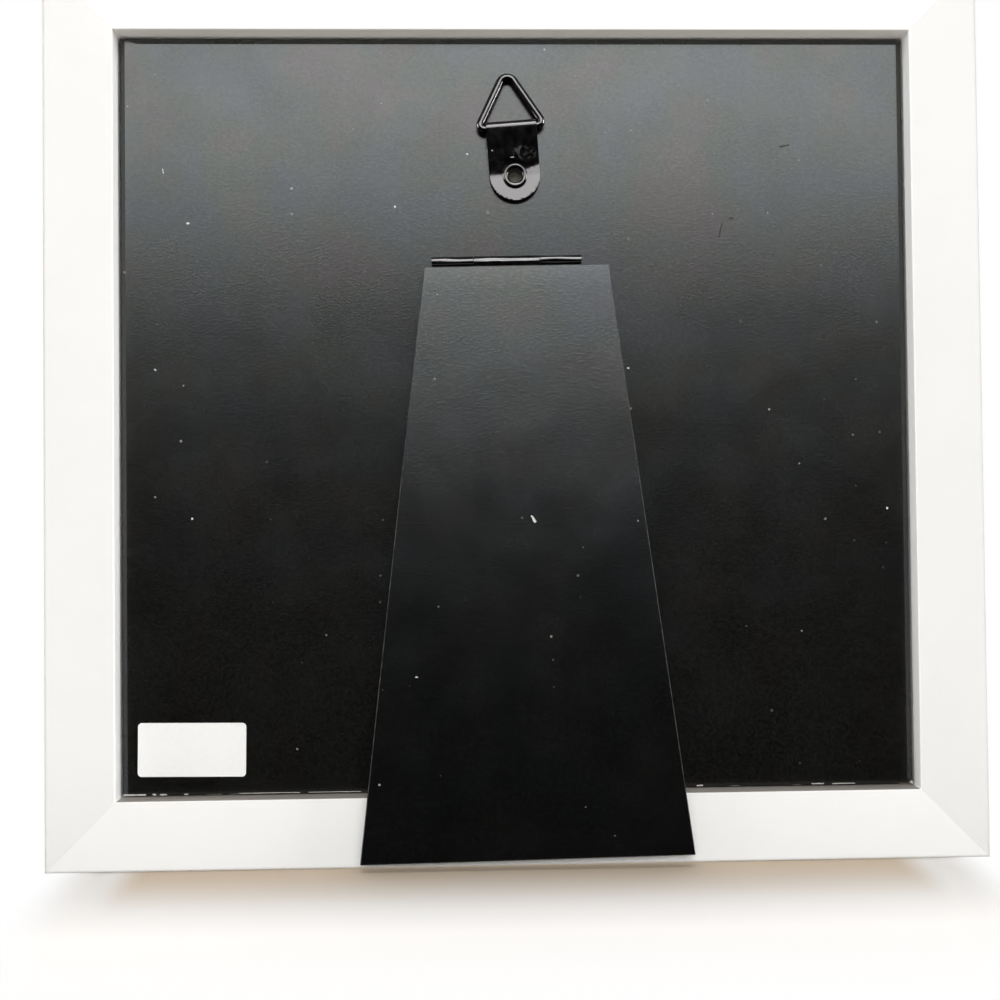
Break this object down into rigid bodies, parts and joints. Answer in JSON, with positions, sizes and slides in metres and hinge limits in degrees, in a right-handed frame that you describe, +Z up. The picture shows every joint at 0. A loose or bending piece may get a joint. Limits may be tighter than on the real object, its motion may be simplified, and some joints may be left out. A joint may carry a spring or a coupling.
{
  "type": "ultrasound photo frame",
  "caption": "White mitred picture frame with glass, mat and print, and a black back board that lifts out and carries a hinged easel leg and a swivelling triangle hanger.",
  "frame": {"origin": "middle of the moulding's bottom face, halfway through its depth, where the frame stands on a table", "axes": "+Z up, the picture faces -Y, the back board faces +Y, +X to the right seen from the front"},
  "size_m": [0.216, 0.0189, 0.208],
  "materials": {
    "white_paint": "satin",
    "black_paper_board": "satin",
    "black_steel": "gloss",
    "bare_steel": "satin",
    "clear_glass": "polished",
    "mat_card": "matte",
    "print_paper": "gloss",
    "grey_card": "matte",
    "label_paper": "matte"
  },
  "bodies": {
    "frame": {"top_rail": "white_paint", "bottom_rail": "white_paint", "left_rail": "white_paint", "right_rail": "white_paint", "v_nail_bottom_left_outer": "bare_steel", "v_nail_bottom_left_inner": "bare_steel", "v_nail_bottom_right_outer": "bare_steel", "v_nail_bottom_right_inner": "bare_steel", "v_nail_top_right_outer": "bare_steel", "v_nail_top_right_inner": "bare_steel", "v_nail_top_left_outer": "bare_steel", "v_nail_top_left_inner": "bare_steel", "glazing": "clear_glass", "mat_board": "mat_card", "sonogram_print": "print_paper", "filler_card": "grey_card"},
    "back": {"backing_board": "black_paper_board", "hinge_board_leaf": "black_steel", "hinge_pin": "bare_steel", "hanger_eyelet": "black_steel", "label": "label_paper"},
    "leg": {"easel_leg": "black_paper_board", "hinge_leg_leaf": "black_steel"},
    "hanger": {"hanger_strap": "black_steel"},
    "ring": {"hanger_ring": "black_steel"}
  },
  "joints": [
    {"name": "back_lift", "type": "slide", "parent": "frame", "child": "back", "axis": [0, 1, 0], "range_m": [0, 0.035]},
    {"name": "leg_hinge", "type": "hinge", "parent": "back", "child": "leg", "pos_m": [0.0022, 0.00585, 0.1388], "axis": [0.9999, 0, -0.014], "range_deg": [0, 32]},
    {"name": "hanger_swivel", "type": "hinge", "parent": "back", "child": "hanger", "pos_m": [0, 0.0044, 0.1588], "axis": [0, 1, 0], "range_deg": [-90, 90]},
    {"name": "ring_swing", "type": "hinge", "parent": "hanger", "child": "ring", "pos_m": [0.00086, 0.006, 0.16997], "axis": [-0.9971, 0, 0.0767], "range_deg": [0, 130]}
  ]
}
